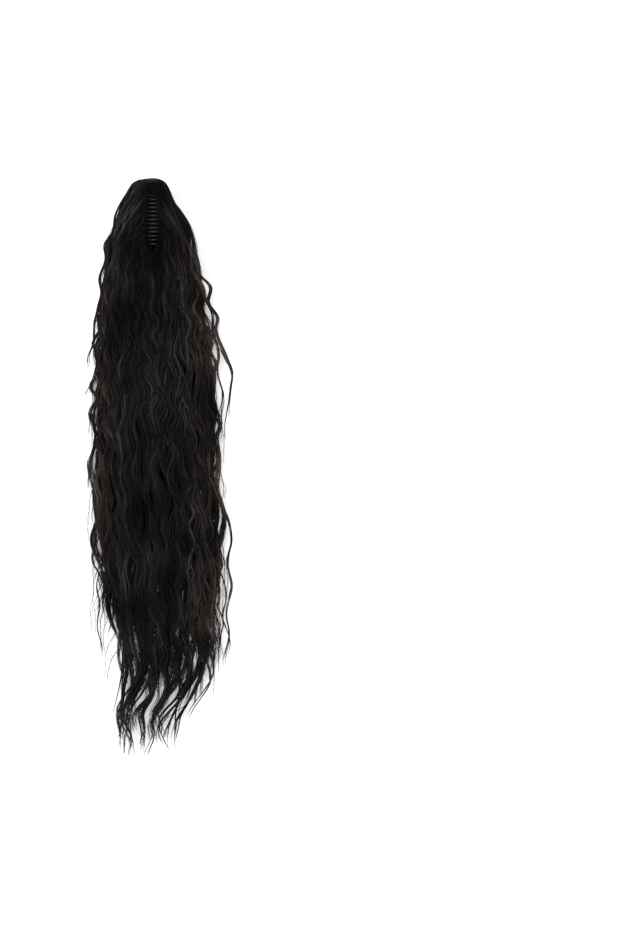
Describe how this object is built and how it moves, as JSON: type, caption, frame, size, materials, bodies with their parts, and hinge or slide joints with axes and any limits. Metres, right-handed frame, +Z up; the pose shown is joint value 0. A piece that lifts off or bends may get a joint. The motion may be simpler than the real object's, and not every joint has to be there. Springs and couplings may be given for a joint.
{
  "type": "claw clip ponytail hairpiece",
  "caption": "Long wavy false ponytail sewn to a sprung hair claw with interleaved teeth, lying flat with the claw side up. Squeezing its levers opens the jaws.",
  "frame": {"origin": "on the table, straight below the middle of the claw's hinge", "axes": "+Y along the hairpiece towards the claw's end, +X to the right when the claw side is seen from above, +Z up"},
  "size_m": [0.1634, 0.6601, 0.0602],
  "materials": {
    "clip_plastic": "black moulded plastic with a soft gloss",
    "hinge_steel": "plain drawn wire",
    "hair": "brown-black wavy hair fibre with a low sheen"
  },
  "bodies": {
    "root": {"hair_fall": "hair", "hinge_pin": "hinge_steel", "hinge_spring": "hinge_steel"},
    "right_jaw": {"jaw_right": "clip_plastic", "hair_crown_right": "hair"},
    "left_jaw": {"jaw_left": "clip_plastic", "hair_crown_left": "hair"}
  },
  "joints": [
    {"name": "right_jaw_hinge", "type": "hinge", "parent": "root", "child": "right_jaw", "pos_m": [0, 0, 0.024], "axis": [0, 1, 0], "range_deg": [0, 30], "stiffness_Nm_per_rad": 0.15, "springref_deg": -34.38},
    {"name": "left_jaw_hinge", "type": "hinge", "parent": "root", "child": "left_jaw", "pos_m": [0, 0, 0.024], "axis": [0, -1, 0], "range_deg": [0, 30], "stiffness_Nm_per_rad": 0.15, "springref_deg": -34.38}
  ],
  "couplings": [
    {"joint": "left_jaw_hinge", "follows": "right_jaw_hinge", "ratio": 1}
  ]
}
